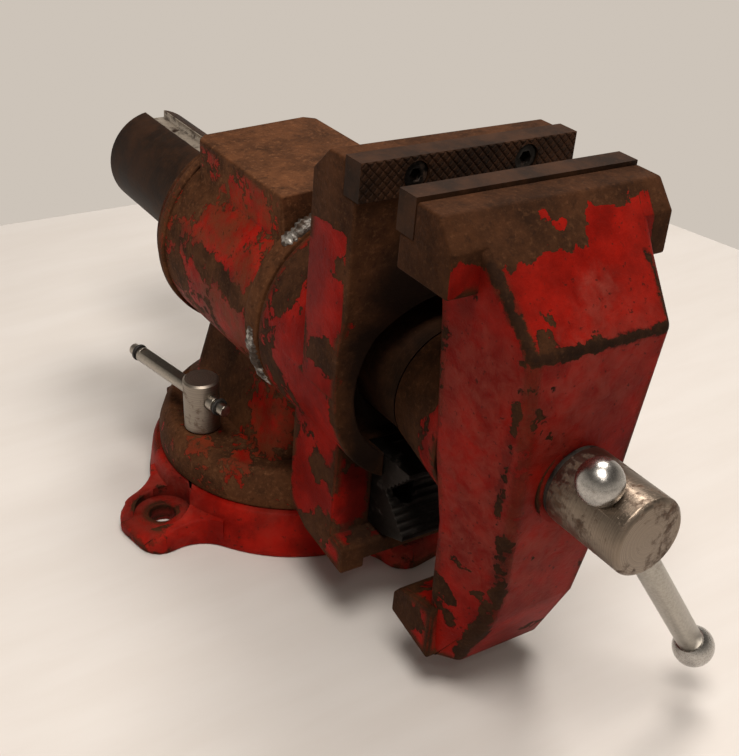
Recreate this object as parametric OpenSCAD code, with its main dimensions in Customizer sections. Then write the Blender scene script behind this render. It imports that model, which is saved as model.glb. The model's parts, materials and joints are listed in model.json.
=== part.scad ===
// Swivel base bench vise with a turning head: flat jaws above the slide, pipe jaws below it.
// Origin on the swivel axis at bench level, +Z up, +Y to the rear, the handle end to the front.

/* [Base] */
// Radius of the base at the bench
base_r = 95; // [93:0.5:98]
// Radius of the base at its top face
base_top_r = 90; // [88:0.5:93]
// Height of the base
base_h = 29; // [26:0.5:31]
// Distance from the swivel axis to the end of a lug
lug_reach = 126; // [120:0.5:126]
// Width of a lug
lug_w = 46; // [40:1:50]
// Radius of the hollow curve between a lug and the round base
lug_fillet = 26; // [20:1:30]
// Radius of the corners at a lug's end
lug_corner = 14; // [8:0.5:16]
// Height of a lug's end face, under its bevel
lug_h = 6.5; // [5:0.5:7]
// Height of a lug above its bevel
lug_top = 15; // [13:0.5:15]
// Height of a lug where it meets the round base
lug_rise = 20; // [17:0.5:22]
// Width of the bevel at a lug's end
lug_bevel = 11; // [10:0.5:13]
// Angle of the first lug from the X axis
lug_turn = 9; // [0:1:45]
// Distance from a bench bolt hole's centre to the end of its lug
lug_edge = 22; // [20:0.5:24]
// Diameter of a bench bolt hole
bolt_hole_d = 16; // [12:0.5:18]
// Diameter of the round seat faced into each lug for the bolt head
spot_d = 34; // [28:1:38]
// Height of the bolt seat above the bench
spot_z = 12; // [9:0.5:12.5]
// Radius of the ring slot that the clamp bolts run in
slot_r = 66; // [62:0.5:68]
// Width of the ring slot at the top face
slot_w = 14; // [13.5:0.5:18]
// Width of the undercut below the slot
undercut_w = 28; // [26:0.5:32]
// Height of the undercut's floor
undercut_floor = 6; // [4:0.5:7]
// Height of the undercut
undercut_h = 9; // [8:0.5:11]
// Diameter of the centre pivot pin
pivot_d = 26; // [20:1:32]
// Length of the pivot pin inside the swivel body
pivot_up = 16; // [10:1:18]

/* [Swivel body] */
// Radius of the turntable at its foot
table_r = 87; // [84:0.5:88]
// Radius of the turntable's flat top
table_top_r = 80; // [78:0.5:82]
// Height of the turntable
table_h = 24; // [22:0.5:28]
// Height of the slide axis above the bench
slide_h = 146; // [145:0.5:152]
// Length of the collar along the slide
collar_l = 125; // [118:1:130]
// Outer radius of the collar
collar_r = 60; // [58:0.5:64]
// How far the rims at the collar's ends stand out
rim_out = 2; // [1:0.25:3]
// Width of the collar's front rim
front_rim_w = 13; // [8:0.5:18]
// Width of the collar's rear rim
rear_rim_w = 7; // [4:0.5:10]
// Width of the anvil
anvil_w = 79; // [70:1:86]
// Length of the anvil
anvil_l = 102; // [90:1:108]
// Height of the anvil's face above the slide axis
anvil_up = 71.5; // [68:0.5:76]
// Corner chamfer of the anvil's face in plan
anvil_cut = 6; // [2:0.5:10]
// Width of the column where it stands on the turntable
column_w = 98; // [90:1:102]
// Width of the column under the collar
column_top_w = 66; // [60:1:76]
// Length of the column along the slide
column_l = 116; // [104:1:120]
// Reach of the column's foot behind the swivel axis
foot_back = 74; // [68:1:76]
// Height of the column's spreading foot
foot_h = 26; // [18:1:32]
// Wall of the hollow under the turntable and column
column_wall = 15; // [12:0.5:20]

/* [Clamp] */
// Diameter of the clamp bolt
clamp_d = 12; // [10:0.5:12.5]
// Width of the clamp bolt's square head
clamp_head_w = 21; // [18:0.5:22]
// Height of the clamp bolt's head
clamp_head_h = 7; // [6:0.5:8]
// Diameter of the lock nut
lock_nut_d = 22; // [20:0.5:24]
// Height of the lock nut
lock_nut_h = 34; // [30:1:38]
// Height of the bar's hole above the nut's foot
lock_bar_up = 22; // [20:0.5:26]
// Diameter of the lock bar
lock_bar_d = 9.6; // [8:0.1:10]
// Length of the lock bar
lock_bar_l = 96; // [80:1:100]
// Length of the bar on the short side of the nut
lock_bar_short = 24; // [22:1:30]
// Angle of the lock bar from the X axis
lock_bar_turn = 100; // [90:1:120]
// Depth of the two flats along the long side of the bar
lock_bar_flat = 1.1; // [0.5:0.1:1.5]

/* [Head] */
// Turn of the head about the slide axis, as it was left
head_lean = 3; // [0:0.5:10]
// Distance from the swivel axis to the fixed jaw's face
jaw_reach = 152; // [150:0.5:156]
// Width of the jaws
jaw_w = 125; // [110:1:127]
// Height of the jaw plates' top edge above the slide axis
jaw_up = 125; // [118:0.5:127]
// Thickness of a jaw plate
plate_t = 13; // [10:0.5:16]
// Height of a jaw plate
plate_h = 19; // [17:0.5:22]
// How far the jaw castings stand below the plates' top edge
plate_proud = 1.8; // [1:0.1:3]
// Ledge that each casting keeps under its plate, back from the plate's face
ledge_back = 3; // [2:0.25:5]
// Depth of the fixed jaw from its face to its back
fixed_depth = 40; // [37:0.5:41]
// Chamfer at the top back edge of the fixed jaw
fixed_cut = 13; // [10:0.5:16]
// Height of the bare machined jaw block
block_h = 34; // [30:0.5:38]
// Radius of the head's round flange
flange_r = 62; // [60:0.5:64]
// Distance from the fixed jaw's face to the front of the flange
flange_back = 8; // [5:0.5:12]
// Radius of the throat hollow around the slide
throat_r = 50; // [48:0.5:52]
// Distance from the fixed jaw's face to the floor of the throat hollow
throat_back = 31; // [29:0.5:36]
// Depth of the throat hollow's flat floor below the slide axis
throat_floor = 40; // [39.5:0.5:41]
// Radius of the hub inside the collar
hub_r = 50; // [48:0.5:52]
// Width of the fixed leg below the slide
fixed_leg_w = 106; // [98:1:110]
// Distance from the fixed jaw's face to the leg's front
leg_front = 17; // [14:0.5:20]
// Distance from the fixed jaw's face to the leg's back
leg_back = 60; // [56:0.5:61]
// Depth of the fixed leg's lip below the slide axis
fixed_lip_down = 103; // [98:0.5:105]
// Distance from the fixed jaw's face to the lip's front edge
fixed_lip_back = 4; // [3.5:0.25:8]
// Height of the two feet under the fixed lip
lip_foot_h = 5.5; // [3:0.5:7]
// Radius of the retaining ring behind the collar
ring_r = 58.6; // [56:0.2:60]
// Thickness of the retaining ring
ring_t = 8; // [6:0.5:10]
// Radius of the circle of ring screws
ring_screw_r = 44; // [43.5:0.25:44.5]

/* [Front jaw] */
// Opening between the jaw plates
jaw_gap = 28.8; // [10:0.2:60]
// Depth of the front jaw's top from the plate's face
front_top_depth = 29; // [26:0.5:33]
// Depth of the front jaw block from the plate's face
front_block_depth = 40; // [36:0.5:44]
// Depth of the ridge from the plate's face
ridge_depth = 73; // [68:0.5:78]
// Height of the ridge above the slide axis
ridge_up = 72; // [66:0.5:78]
// Width of the ridge
ridge_w = 80; // [74:1:86]
// Depth of the front face at the slide axis
nose_depth = 69.5; // [67:0.5:71]
// Width of the front face at the slide axis
nose_w = 65; // [60:1:70]
// Depth of the front face at the top of the under slope
chin_depth = 59.5; // [56:0.5:62]
// Depth of the under slope's top below the slide axis
chin_down = 80; // [74:0.5:84]
// Width of the chin
chin_w = 51; // [46:1:56]
// Depth of the under slope's bottom edge from the plate's face
toe_depth = 39.5; // [37:0.5:42]
// Depth of the under slope's bottom edge below the slide axis
toe_down = 123; // [118:0.5:125]
// Width across the back of the front leg
heel_w = 79; // [74:1:82]
// Width across the back of the front jaw at the slide axis
shoulder_w = 94; // [88:1:98]
// Setback of the front leg from the plate's face
front_leg_back = 22; // [20:0.5:25]
// Width of the lip at the foot of the front leg
front_lip_w = 79; // [74:1:82]
// Reach of the front lip past the plate's face
front_lip_reach = 3; // [1:0.25:3.4]
// Depth of the front lip's top below the slide axis
front_lip_down = 97; // [95:0.5:100]
// Radius of the slide bar
slide_r = 34; // [31:0.5:35]
// Radius of the slide bar's bore
slide_bore_r = 22; // [20:0.5:23]
// Distance from the swivel axis to the slide bar's rear end
slide_end = 202; // [196:1:212]
// Depth of the slide bar's socket end from the plate's face
socket_depth = 30; // [26:0.5:34]
// Radius of the slide bar's boss at the front jaw
boss_r = 44; // [42:0.5:44.5]
// Reach of the boss past the plate's face
boss_reach = 24; // [18:0.5:26]
// Width of the keyway along the top of the slide bar
keyway_w = 13.4; // [12:0.2:16]
// Depth of the keyway
keyway_d = 5.6; // [4:0.2:7]
// Width of the slot along the bottom of the slide bar
bar_slot_w = 26; // [24.5:0.5:30]

/* [Pipe jaws] */
// Width of the pipe jaws
pipe_w = 56; // [50:1:60]
// Depth of the pipe jaws' centre line below the slide axis
pipe_down = 62; // [61:0.5:64]
// Height of the fixed pipe jaw above the centre line, at its back
pipe_rise = 20; // [17:0.5:22]
// Height of the fixed pipe jaw below the centre line
pipe_drop = 28; // [26:0.5:29]
// Height of the fixed pipe jaw's tips from the centre line
pipe_tip_h = 21; // [18:0.5:22]
// Height of the front pipe jaw
front_pipe_h = 35; // [30:0.5:35]
// Distance from the fixed jaw's face to the back of the fixed pipe jaw
pipe_seat = 24; // [22:0.5:27]
// Reach of the fixed pipe jaw's tips past the fixed jaw's face
pipe_tip_out = 14; // [10:0.5:16]
// Depth of the V in the fixed pipe jaw
pipe_vee = 18; // [12:0.5:19]
// Thickness of the front pipe jaw
front_pipe_t = 16; // [12:0.5:18]
// Depth of the V in the front pipe jaw
front_vee = 8; // [5:0.5:9]
// Number of teeth on each slope of the fixed pipe jaw's V
fixed_teeth = 6; // [4:1:8]
// Number of teeth on each slope of the front pipe jaw's V
front_teeth = 4; // [3:1:5]
// Depth of the pipe jaws' teeth
tooth_depth = 1.5; // [0.8:0.1:2]

/* [Spindle] */
// Diameter of the spindle's head
spindle_head_d = 39.4; // [36:0.2:42]
// Length of the spindle's head
spindle_head_l = 45.5; // [40:0.5:50]
// Chamfer around the end of the spindle's head
spindle_cut = 2; // [1:0.25:3]
// Diameter of the spindle's journal in the front jaw
journal_d = 28; // [26:0.5:30]
// Outer diameter of the screw
screw_d = 22; // [20:0.5:24]
// Distance from the swivel axis to the screw's rear end
screw_end = 168; // [160:1:176]
// Thickness of the thrust washer
washer_t = 2.5; // [2:0.25:4]
// Diameter of the thrust washer
washer_d = 38; // [34:0.5:38.5]
// Length of the retaining collar behind the front jaw's wall
keeper_l = 11; // [9:0.5:14]
// Outer diameter of the retaining collar
keeper_d = 39; // [36:0.5:40]
// Distance from the spindle head's end to the handle
handle_in = 19.2; // [16:0.2:22]
// Diameter of the handle bar
handle_d = 13.3; // [12:0.1:15]
// Diameter of the handle's balls
ball_d = 21.6; // [20:0.2:24]
// Distance from the spindle axis to the upper ball's centre
ball_up = 28.4; // [27:0.1:30]
// Distance from the spindle axis to the lower ball's centre
ball_down = 134; // [120:1:140]
// Turn of the handle from upright, lower end to the right
handle_tilt = 32.8; // [0:0.2:90]
// Length of the spindle nut
nut_l = 36; // [30:1:40]
// Distance from the hub's rear end to the spindle nut
nut_inset = 8.8; // [6:0.2:12]
// Radius of the spindle nut's round body
nut_r = 20; // [18:0.5:21]
// Width of the spindle nut's stem
nut_stem_w = 25; // [22:0.5:25.4]
// Depth of the nut's seat in the wall of the hub's bore
nut_seat = 5; // [3:0.5:7]
// Length of the guide key
key_l = 60; // [40:1:70]
// Depth of the key's seat in the wall of the hub's bore
key_seat = 6; // [4:0.5:8]

/* [Fasteners and fits] */
// Diameter of the cap screws
screw_shank_d = 8; // [6:0.5:8]
// Diameter of the cap screws' heads
screw_top_d = 13; // [10:0.5:13.5]
// Height of the cap screws' heads
screw_top_h = 6; // [4:0.5:6]
// Depth of the screws in the castings
screw_in = 16; // [12:0.5:18]
// Distance between the two screws of a jaw plate
plate_screw_pitch = 64; // [50:1:80]
// Distance between the two screws of a pipe jaw
pipe_screw_pitch = 34; // [26:1:40]
// Radial clearance of running fits
run_fit = 0.06; // [0.02:0.01:0.09]
// Gap between flat faces that slide or turn on each other
face_gap = 0.3; // [0.2:0.05:0.5]
// Gap kept between parts that pass each other in the open
run_gap = 0.8; // [0.6:0.1:1.2]

/* [Hidden] */

round_fn = 96;
hull_fn = 32;
eps = 0.01;
// How far a cut runs past the face it starts from
over = 1;

// Fits of pieces that don't move on each other
hole_fit = 0.05;
seat_gap = 0.1;
key_gap = 0.3;
head_slack = 0.5;
ring_slack = 2;

// Heights above the bench
slot_floor = undercut_floor;
slot_roof = undercut_floor + undercut_h;
table_z = base_h + face_gap;
table_top = table_z + table_h;
nut_foot = table_top + face_gap;

// Places along the slide, measured from the swivel axis
collar_front = -collar_l / 2;
collar_back = collar_l / 2;
flange_end = collar_front - face_gap;
hub_end = collar_back + face_gap;
fixed_face = -jaw_reach;
front_face = fixed_face - jaw_gap;
socket_y = front_face - socket_depth;
spot_out = 1;
washer_front = front_face - nose_depth - spot_out;
head_start = washer_front - washer_t - face_gap;
head_end = head_start - spindle_head_l;
handle_y = head_end + handle_in;
keeper_front = socket_y + face_gap;
keeper_mid = keeper_front + keeper_l / 2;
nut_front = hub_end - nut_inset - nut_l;
nut_mid = nut_front + nut_l / 2;

// Heights above the slide axis
block_top = jaw_up - plate_proud;
block_low = block_top - block_h;
plate_low = jaw_up - plate_h;
plate_mid = jaw_up - plate_h / 2;

// Base and swivel body
bolt_at = lug_reach - lug_edge;
mouth_w = clamp_head_w + 4 * head_slack;
pivot_lead = 2;
pivot_boss = 9;
column_corner = 14;
foot_corner = 24;

// Clamp
nut_edge = 1.2;
bar_web = 2;
bar_end_d = lock_bar_d - 2.2;
bar_end_l = 9;
bar_long = lock_bar_l - lock_bar_short;
bar_ring_in = 5.5;
bar_ring_w = 1.8;
bar_ring_d = lock_bar_d + 1;

// Head
slide_hole_r = slide_r + run_fit;
collar_hole_r = hub_r + run_fit;
seam_depth = 3.5;
seam_w = 2.5;
lip_t = 10;
lip_foot_w = 15;
lip_slope = 18;
leg_rise = 10;
pipe_bed = 8;
tip_flat = 3;
key_screw_d = 6;
key_screw_sink = 4;
key_low = slide_r - keyway_d + key_gap;
nut_bolt_d = 10;
nut_bolt_head_d = 16;
nut_bolt_sink = 7;
nut_bolt_skin = 1.5;
nut_bolt_end = nut_r - 5;

// Front jaw
edge_round = 5;
panel_w = jaw_w * 0.82;
panel_back = plate_t + 2;
waist_w = ridge_w * 1.1;
waist_up = (block_top + ridge_up) / 2;
waist_depth = (front_top_depth + ridge_depth) / 2;
jowl_w = (nose_w + chin_w) / 2;
jowl_depth = (nose_depth + chin_depth) / 2 + 1;
top_slope = (block_top - ridge_up) / (ridge_depth - front_top_depth);
lip_root = front_leg_back + 8;
lip_round = 6;
spot_r = spindle_head_d / 2 + 2.5;
boss_end_r = slide_r + 1.5;
pipe_proud = 2;
front_pipe_face = front_leg_back - pipe_proud;
front_pipe_back = front_pipe_face + front_pipe_t;
front_tip_flat = 5;
bar_pin_d = 8;
bar_pin_in = 9;
bar_pin_y = socket_y + bar_pin_in;
key_run = 8;
stem_run = 9;

// Spindle and handle
keeper_pin_d = 6;
ball_flat = 8;
tenon_d = 9;

// Carries the turned head's own frame: X across, Y along the slide, Z up from the slide axis
module at_head() {
  translate([0, 0, slide_h]) rotate([0, head_lean, 0]) children();
}

// A cylinder along Y from y0 to y1
module along_y(r, y0, y1) {
  translate([0, y0, 0]) rotate([-90, 0, 0]) cylinder(r = r, h = y1 - y0, $fn = round_fn);
}

// A side profile of [distance behind the fixed jaw's face, height] points, carried across X
module side_slab(points, width) {
  translate([-width / 2, fixed_face, 0])
    rotate([90, 0, 90]) linear_extrude(width) polygon(points);
}

// A side profile of [depth in front of the front plate's face, height] points, carried across X
module front_slab(points, width) {
  translate([width / 2, front_face, 0])
    rotate([90, 0, -90]) linear_extrude(width) polygon(points);
}

// A cap screw along Y: the head's top at y0, pointing the way of dir (1 to the rear, -1 to the front)
module cap_screw(y0, length, dir) {
  socket_d = screw_shank_d * 0.85;
  socket_h = screw_top_h * 0.55;
  translate([0, y0, 0]) rotate([-90 * dir, 0, 0]) difference() {
    union() {
      cylinder(d = screw_top_d, h = screw_top_h, $fn = round_fn);
      cylinder(d = screw_shank_d, h = length, $fn = round_fn);
    }
    translate([0, 0, -eps]) cylinder(d = socket_d, h = socket_h, $fn = 6);
  }
}

// The counterbored hole for such a screw, open for a depth of sink above the head
module cap_screw_hole(y0, length, dir, sink) {
  translate([0, y0, 0]) rotate([-90 * dir, 0, 0]) {
    translate([0, 0, -sink])
      cylinder(d = screw_top_d + 2 * head_slack, h = screw_top_h + sink, $fn = round_fn);
    cylinder(d = screw_shank_d + 2 * hole_fit, h = length + head_slack, $fn = round_fn);
  }
}

// Copies at both ends of a pitch across X
module pair(pitch, height) {
  for (side = [-1, 1]) translate([side * pitch / 2, 0, height]) children();
}

// Four copies a quarter turn apart around the slide
module ring_of_four(radius) {
  for (i = [0:3]) rotate([0, 45 + 90 * i, 0]) translate([radius, 0, 0]) children();
}

// Points of an arc, and of a row of teeth cut into the left side of the line from a to b
function arc(c, r, from, to, n) =
  [for (i = [0:n]) let (t = from + (to - from) * i / n) c + r * [cos(t), sin(t)]];

function teeth(a, b, n) =
  let (along = (b - a) / n, left = [-along.y, along.x] * tooth_depth / norm(along))
  [for (i = [0:n - 1]) for (p = [a + i * along, a + (i + 0.5) * along + left]) p];

// Base: a round iron casting with four lugs and a ring slot for the clamp bolts, which drop into the
// slot through a square mouth
module lug_outline() {
  half = lug_w / 2;
  out = sqrt(pow(base_r + lug_fillet, 2) - pow(half + lug_fillet, 2));
  meet = atan2(half + lug_fillet, out);
  side = concat(
    [[base_r / 2, half]],
    arc([out, half + lug_fillet], lug_fillet, 180 + meet, 270, 8),
    arc([lug_reach - lug_corner, half - lug_corner], lug_corner, 90, 0, 5)
  );
  mirrored = [for (i = [len(side) - 1:-1:0]) [side[i].x, -side[i].y]];
  polygon(concat(side, mirrored));
}

module lug() {
  far = lug_reach + over;
  far_h = lug_h - over * (lug_top - lug_h) / lug_bevel;
  intersection() {
    linear_extrude(base_h) lug_outline();
    rotate_extrude($fn = round_fn) polygon([
      [0, 0], [far, 0], [far, far_h], [lug_reach - lug_bevel, lug_top],
      [base_top_r, lug_rise], [0, lug_rise]
    ]);
  }
}

module base_plate() {
  skirt = base_h / 6;
  top_edge = 4;
  color("firebrick") difference() {
    union() {
      rotate_extrude($fn = round_fn) polygon([
        [0, 0], [base_r, 0], [base_r, skirt], [base_top_r + top_edge / 2, base_h - top_edge],
        [base_top_r, base_h], [0, base_h]
      ]);
      for (i = [0:3]) rotate([0, 0, lug_turn + 90 * i]) lug();
    }
    for (i = [0:3]) rotate([0, 0, lug_turn + 90 * i]) translate([bolt_at, 0, 0]) {
      translate([0, 0, -over]) cylinder(d = bolt_hole_d, h = base_h, $fn = round_fn);
      translate([0, 0, spot_z]) cylinder(d = spot_d, h = base_h, $fn = round_fn);
    }
    rotate_extrude($fn = round_fn) polygon([
      [slot_r - undercut_w / 2, slot_floor], [slot_r + undercut_w / 2, slot_floor],
      [slot_r + undercut_w / 2, slot_roof], [slot_r + slot_w / 2, slot_roof],
      [slot_r + slot_w / 2, base_h + over], [slot_r - slot_w / 2, base_h + over],
      [slot_r - slot_w / 2, slot_roof], [slot_r - undercut_w / 2, slot_roof]
    ]);
    rotate([0, 0, lug_turn + 45])
      translate([slot_r - mouth_w / 2, -mouth_w / 2, slot_floor + over])
        cube([mouth_w, mouth_w, base_h]);
    translate([0, 0, slot_floor])
      cylinder(d = pivot_d + 2 * hole_fit, h = base_h, $fn = round_fn);
  }
}

module pivot_pin() {
  pin_l = base_h - slot_floor + pivot_up;
  color("dimgray") translate([0, 0, slot_floor]) rotate_extrude($fn = round_fn) polygon([
    [0, 0], [pivot_d / 2, 0], [pivot_d / 2, pin_l - pivot_lead],
    [pivot_d / 2 - pivot_lead, pin_l], [0, pin_l]
  ]);
}

// Swivel body: turntable, column, collar and anvil in one casting
module column(inset, z0, z1) {
  trim = 2 * (inset + column_corner);
  hull() {
    translate([0, 0, z0]) linear_extrude(eps) offset(column_corner, $fn = hull_fn)
      square([column_w - trim, column_l - trim], center = true);
    translate([0, 0, z1]) linear_extrude(eps) offset(column_corner, $fn = hull_fn)
      square([column_top_w - trim, column_l - trim], center = true);
  }
}

module column_foot() {
  wide = column_w - 2 * foot_corner;
  hull() {
    translate([0, 0, table_top - eps]) linear_extrude(eps) offset(foot_corner, $fn = hull_fn)
      translate([-wide / 2, -column_l / 2 + foot_corner])
        square([wide, column_l / 2 + foot_back - 2 * foot_corner]);
    translate([0, 0, table_top + foot_h]) linear_extrude(eps)
      square([column_top_w, column_l - 2 * foot_corner], center = true);
  }
}

module anvil() {
  half = [anvil_w / 2, anvil_l / 2];
  root = collar_r * 0.6;
  translate([0, 0, slide_h + root]) linear_extrude(anvil_up - root) polygon([
    [-half.x, -half.y], [half.x, -half.y], [half.x, half.y - anvil_cut],
    [half.x - anvil_cut, half.y], [-half.x + anvil_cut, half.y], [-half.x, half.y - anvil_cut]
  ]);
}

module swivel_body() {
  shoulder = table_r - table_top_r;
  column_top = slide_h - collar_r * 0.75;
  hollow_top = slide_h - collar_r - column_wall * 0.6;
  color("firebrick") difference() {
    union() {
      translate([0, 0, table_z]) rotate_extrude($fn = round_fn) polygon([
        [0, 0], [table_r, 0], [table_r, table_h * 0.45], [table_r - shoulder * 0.4, table_h * 0.8],
        [table_top_r, table_h], [0, table_h]
      ]);
      column(0, table_top - eps, column_top);
      column_foot();
      translate([0, 0, slide_h]) {
        along_y(collar_r, collar_front, collar_back);
        along_y(collar_r + rim_out, collar_front, collar_front + front_rim_w);
        along_y(collar_r + rim_out, collar_back - rear_rim_w, collar_back);
      }
      anvil();
    }
    translate([0, 0, slide_h]) along_y(collar_hole_r, collar_front - over, collar_back + over);
    difference() {
      column(column_wall, table_z - eps, hollow_top);
      translate([0, 0, table_z])
        cylinder(r = pivot_d / 2 + pivot_boss, h = slide_h, $fn = round_fn);
    }
    translate([0, 0, table_z - over])
      cylinder(d = pivot_d + 2 * run_fit, h = pivot_up + 2 * over, $fn = round_fn);
    for (side = [-1, 1]) translate([side * slot_r, 0, table_z - over])
      cylinder(d = clamp_d + 2 * head_slack, h = table_h + 2 * over, $fn = round_fn);
  }
}

// Clamp: square headed bolts in the ring slot, tall round nuts and sliding bars above the turntable
module clamp_bolts() {
  bolt_top = nut_foot + lock_bar_up - lock_bar_d / 2 - 1.5 * bar_web;
  head_z = slot_roof - face_gap - clamp_head_h;
  color("dimgray") for (side = [-1, 1]) translate([side * slot_r, 0, 0]) {
    translate([-clamp_head_w / 2, -clamp_head_w / 2, head_z])
      cube([clamp_head_w, clamp_head_w, clamp_head_h]);
    translate([0, 0, head_z]) cylinder(d = clamp_d, h = bolt_top - head_z, $fn = round_fn);
  }
}

module lock_nut() {
  bore_h = lock_bar_up - lock_bar_d / 2 - bar_web;
  r = lock_nut_d / 2;
  color("silver") translate([0, 0, nut_foot]) difference() {
    rotate_extrude($fn = round_fn) polygon([
      [0, 0], [r - nut_edge, 0], [r, nut_edge], [r, lock_nut_h - nut_edge],
      [r - nut_edge, lock_nut_h], [0, lock_nut_h]
    ]);
    translate([0, 0, -over]) cylinder(d = clamp_d + 2 * run_fit, h = bore_h + over, $fn = round_fn);
    translate([0, 0, lock_bar_up]) rotate([0, 0, lock_bar_turn]) rotate([0, 90, 0])
      cylinder(d = lock_bar_d + 2 * run_fit, h = 2 * lock_nut_d, center = true, $fn = round_fn);
  }
}

// The bar's own frame: X along the bar, the long end at plus X, the nut's axis at X zero
module at_bar(side) {
  translate([side * slot_r, 0, nut_foot + lock_bar_up])
    rotate([0, 0, side < 0 ? lock_bar_turn : 180 + lock_bar_turn]) children();
}

module lock_bar() {
  flat_start = lock_nut_d / 2 + bar_web;
  flat_l = bar_long - bar_end_l - bar_web - flat_start;
  color("silver") difference() {
    union() {
      translate([-lock_bar_short + bar_end_l, 0, 0]) rotate([0, 90, 0])
        cylinder(d = lock_bar_d, h = lock_bar_l - 2 * bar_end_l, $fn = round_fn);
      translate([-lock_bar_short, 0, 0]) rotate([0, 90, 0])
        cylinder(d = bar_end_d, h = lock_bar_l, $fn = round_fn);
    }
    for (way = [-1, 1])
      translate([flat_start, -lock_bar_d / 2, (way - 0.5) * lock_bar_d - way * lock_bar_flat])
        cube([flat_l, lock_bar_d, lock_bar_d]);
  }
}

module lock_bar_rings() {
  color("black") for (x = [-lock_bar_short + bar_ring_in, bar_long - bar_ring_in - bar_ring_w])
    translate([x, 0, 0]) rotate([0, 90, 0]) difference() {
      cylinder(d = bar_ring_d, h = bar_ring_w, $fn = round_fn);
      translate([0, 0, -over])
        cylinder(d = bar_end_d + 2 * hole_fit, h = bar_ring_w + 2 * over, $fn = round_fn);
    }
}

module lock_nut_left() { translate([-slot_r, 0, 0]) lock_nut(); }
module lock_nut_right() { translate([slot_r, 0, 0]) lock_nut(); }
module lock_bar_left() { at_bar(-1) lock_bar(); }
module lock_bar_right() { at_bar(1) lock_bar(); }
module lock_bar_rings_left() { at_bar(-1) lock_bar_rings(); }
module lock_bar_rings_right() { at_bar(1) lock_bar_rings(); }

// Head: the fixed jaw casting with its flange, its hub through the collar and its lower leg
module fixed_jaw() {
  leg_top = -flange_r / 2;
  lip_mid = leg_back - lip_slope;
  lip_low = -fixed_lip_down;
  color("firebrick") at_head() difference() {
    union() {
      side_slab([
        [plate_t, block_top], [fixed_depth - fixed_cut, block_top],
        [fixed_depth, block_top - fixed_cut], [fixed_depth, 0], [flange_back, 0],
        [flange_back, throat_r * 0.6], [ledge_back, throat_r], [ledge_back, plate_low],
        [plate_t, plate_low]
      ], jaw_w);
      along_y(flange_r, fixed_face + flange_back, flange_end - seam_w);
      along_y(flange_r - seam_depth, fixed_face + flange_back, flange_end);
      along_y(hub_r, flange_end - seam_w, hub_end);
      side_slab([
        [leg_back, leg_top], [leg_back, lip_low + leg_rise], [lip_mid, lip_low],
        [fixed_lip_back, lip_low], [fixed_lip_back, lip_low + lip_t],
        [leg_front, lip_low + lip_t * 1.2], [leg_front, leg_top]
      ], fixed_leg_w);
      for (side = [-1, 1]) translate([side * (fixed_leg_w - lip_foot_w) / 2, 0, 0]) side_slab([
        [fixed_lip_back, lip_low + eps], [fixed_lip_back, lip_low - lip_foot_h],
        [lip_mid, lip_low + eps]
      ], lip_foot_w);
    }
    difference() {
      along_y(throat_r, fixed_face - over, fixed_face + throat_back);
      translate([-throat_r, fixed_face - 2 * over, -2 * throat_r])
        cube([2 * throat_r, throat_back + 3 * over, 2 * throat_r - throat_floor]);
    }
    along_y(slide_hole_r, fixed_face - over, hub_end + over);
    pair(plate_screw_pitch, plate_mid)
      cap_screw_hole(fixed_face + over, plate_t + screw_in, 1, over);
    pipe_seat_cut();
    pair(pipe_screw_pitch, -pipe_down)
      cap_screw_hole(fixed_face + pipe_seat - pipe_bed, pipe_bed + screw_in, 1, over);
    ring_of_four(ring_screw_r) cap_screw_hole(hub_end + ring_t, ring_t + screw_in, -1, over);
    key_pocket();
    nut_pocket();
  }
}

// The fixed pipe jaw sits between cheeks, in a pocket that opens upward into the throat
module pipe_seat_cut() {
  deep = pipe_down + pipe_drop + seat_gap;
  translate([-pipe_w / 2 - seat_gap, fixed_face - over, -deep])
    cube([pipe_w + 2 * seat_gap, pipe_seat + over, deep - throat_floor + 2 * over]);
}

function key_screw_places() = [collar_front + key_l * 0.2, collar_front + key_l * 0.8];

module key_pocket() {
  wide = keyway_w - 2 * key_gap + 2 * hole_fit;
  translate([-wide / 2, collar_front - hole_fit, 0])
    cube([wide, key_l + 2 * hole_fit, slide_r + key_seat + hole_fit]);
  for (y = key_screw_places()) translate([0, y, slide_r])
    cylinder(d = key_screw_d + 2 * hole_fit, h = hub_r, $fn = round_fn);
}

module nut_pocket() {
  wide = nut_stem_w + 2 * hole_fit;
  translate([-wide / 2, nut_front - hole_fit, -slide_r - nut_seat - hole_fit])
    cube([wide, nut_l + 2 * hole_fit, slide_r]);
  translate([0, nut_mid, 0]) mirror([0, 0, 1]) {
    cylinder(d = nut_bolt_d + 2 * hole_fit, h = hub_r + over, $fn = round_fn);
    translate([0, 0, hub_r - nut_bolt_sink])
      cylinder(d = nut_bolt_head_d + 2 * hole_fit, h = nut_bolt_sink + over, $fn = round_fn);
  }
}

// A jaw plate with counterbored screw holes, its gripping face at y0, its back the way of dir
module jaw_plate(y0, dir) {
  color("dimgray") at_head() difference() {
    translate([-jaw_w / 2, dir > 0 ? y0 : y0 - plate_t, plate_low])
      cube([jaw_w, plate_t, plate_h]);
    pair(plate_screw_pitch, plate_mid) cap_screw_hole(y0 + dir, plate_t, dir, 2 * over);
  }
}

module fixed_jaw_plate() { jaw_plate(fixed_face, 1); }

module fixed_plate_screws() {
  color("black") at_head() pair(plate_screw_pitch, plate_mid)
    cap_screw(fixed_face + over, plate_t + screw_in - 2 * over, 1);
}

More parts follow.
